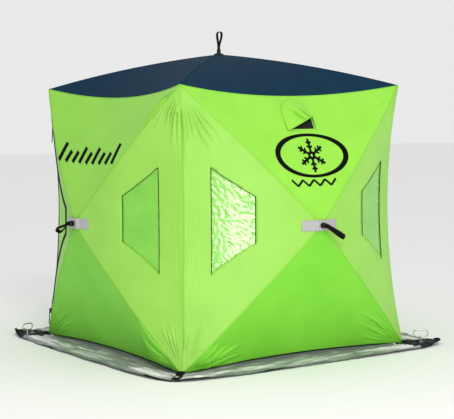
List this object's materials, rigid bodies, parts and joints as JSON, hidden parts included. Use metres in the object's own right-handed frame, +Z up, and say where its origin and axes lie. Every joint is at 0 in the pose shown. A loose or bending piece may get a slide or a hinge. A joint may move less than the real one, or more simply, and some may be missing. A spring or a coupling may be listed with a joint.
{
  "type": "pop-up ice fishing shelter",
  "caption": "Square pop-up ice fishing shelter: fabric stretched over sprung wall and roof hubs, with clear windows, a zipped door, vent hoods, pull loops, a snow skirt and ice anchors.",
  "frame": {"origin": "on the ground, under the roof hub, at the middle of the footprint", "axes": "+Z up; the front wall, with a vent hood and two windows, faces -Y; the left wall, with the door, faces -X"},
  "size_m": [2.0392, 2.0392, 1.7958],
  "materials": {
    "wall_fabric": "bright green woven polyester with a soft sheen",
    "roof_fabric": "dark navy woven polyester",
    "window_film": "clear soft PVC film, wrinkled and glossy",
    "hub_plastic": "moulded black nylon",
    "rod_fibreglass": "pultruded fibreglass rod, dark grey",
    "skirt_fabric": "grey coated polyester with a wet-looking sheen",
    "webbing": "black polypropylene webbing",
    "reflective_patch": "silver grey reflective cloth",
    "anchor_steel": "bright zinc-plated steel wire"
  },
  "bodies": {
    "root": {"front_upper_panel": "wall_fabric", "front_right_panel": "wall_fabric", "front_lower_panel": "wall_fabric", "front_left_panel": "wall_fabric", "right_upper_panel": "wall_fabric", "right_right_panel": "wall_fabric", "right_lower_panel": "wall_fabric", "right_left_panel": "wall_fabric", "back_upper_panel": "wall_fabric", "back_right_panel": "wall_fabric", "back_lower_panel": "wall_fabric", "back_left_panel": "wall_fabric", "left_upper_panel": "wall_fabric", "left_right_panel": "wall_fabric", "left_lower_panel": "wall_fabric", "left_left_panel": "wall_fabric", "roof_front_panel": "roof_fabric", "roof_right_panel": "roof_fabric", "roof_back_panel": "roof_fabric", "roof_left_panel": "roof_fabric", "front_windows": "window_film", "right_windows": "window_film", "back_windows": "window_film", "left_window": "window_film", "door_flap": "wall_fabric", "front_hub": "hub_plastic", "right_hub": "hub_plastic", "back_hub": "hub_plastic", "left_hub": "hub_plastic", "roof_hub": "hub_plastic", "front_rods": "rod_fibreglass", "right_rods": "rod_fibreglass", "back_rods": "rod_fibreglass", "left_rods": "rod_fibreglass", "roof_rods": "rod_fibreglass", "front_skirt": "skirt_fabric", "right_skirt": "skirt_fabric", "back_skirt": "skirt_fabric", "left_skirt": "skirt_fabric", "corner_joints": "hub_plastic", "vent_hoods": "wall_fabric", "pull_loops": "webbing", "reflective_patches": "reflective_patch", "corner_straps": "webbing", "ice_anchors": "anchor_steel"}
  },
  "joints": []
}
